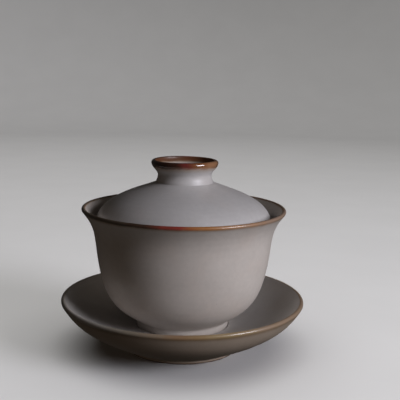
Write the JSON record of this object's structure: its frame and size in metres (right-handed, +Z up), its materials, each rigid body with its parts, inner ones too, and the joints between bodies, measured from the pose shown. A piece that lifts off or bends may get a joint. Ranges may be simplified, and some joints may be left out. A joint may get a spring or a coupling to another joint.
{
  "type": "gaiwan",
  "caption": "Lidded tea bowl with a flared rim and cup-shaped lid knob, standing on a deep saucer, in pale glaze with iron-brown rims.",
  "frame": {"origin": "centre of the saucer's foot ring, on the surface that the gaiwan stands on", "axes": "+Z up, along the axis that all three pieces are turned round"},
  "size_m": [0.1154, 0.1154, 0.0902],
  "materials": {
    "saucer_glaze": "semi-gloss pale grey glaze, thin ochre rim",
    "bowl_glaze": "semi-gloss off-white glaze, iron-brown rim",
    "lid_glaze": "semi-gloss off-white glaze, iron-brown knob rim"
  },
  "bodies": {
    "saucer": {"saucer": "saucer_glaze"},
    "bowl": {"bowl": "bowl_glaze"},
    "lid": {"lid": "lid_glaze"}
  },
  "joints": [
    {"name": "bowl_lift", "type": "slide", "parent": "saucer", "child": "bowl", "axis": [0, 0, 1], "range_m": [0, 0.06]},
    {"name": "lid_lift", "type": "slide", "parent": "bowl", "child": "lid", "axis": [0, 0, 1], "range_m": [0, 0.06]}
  ]
}
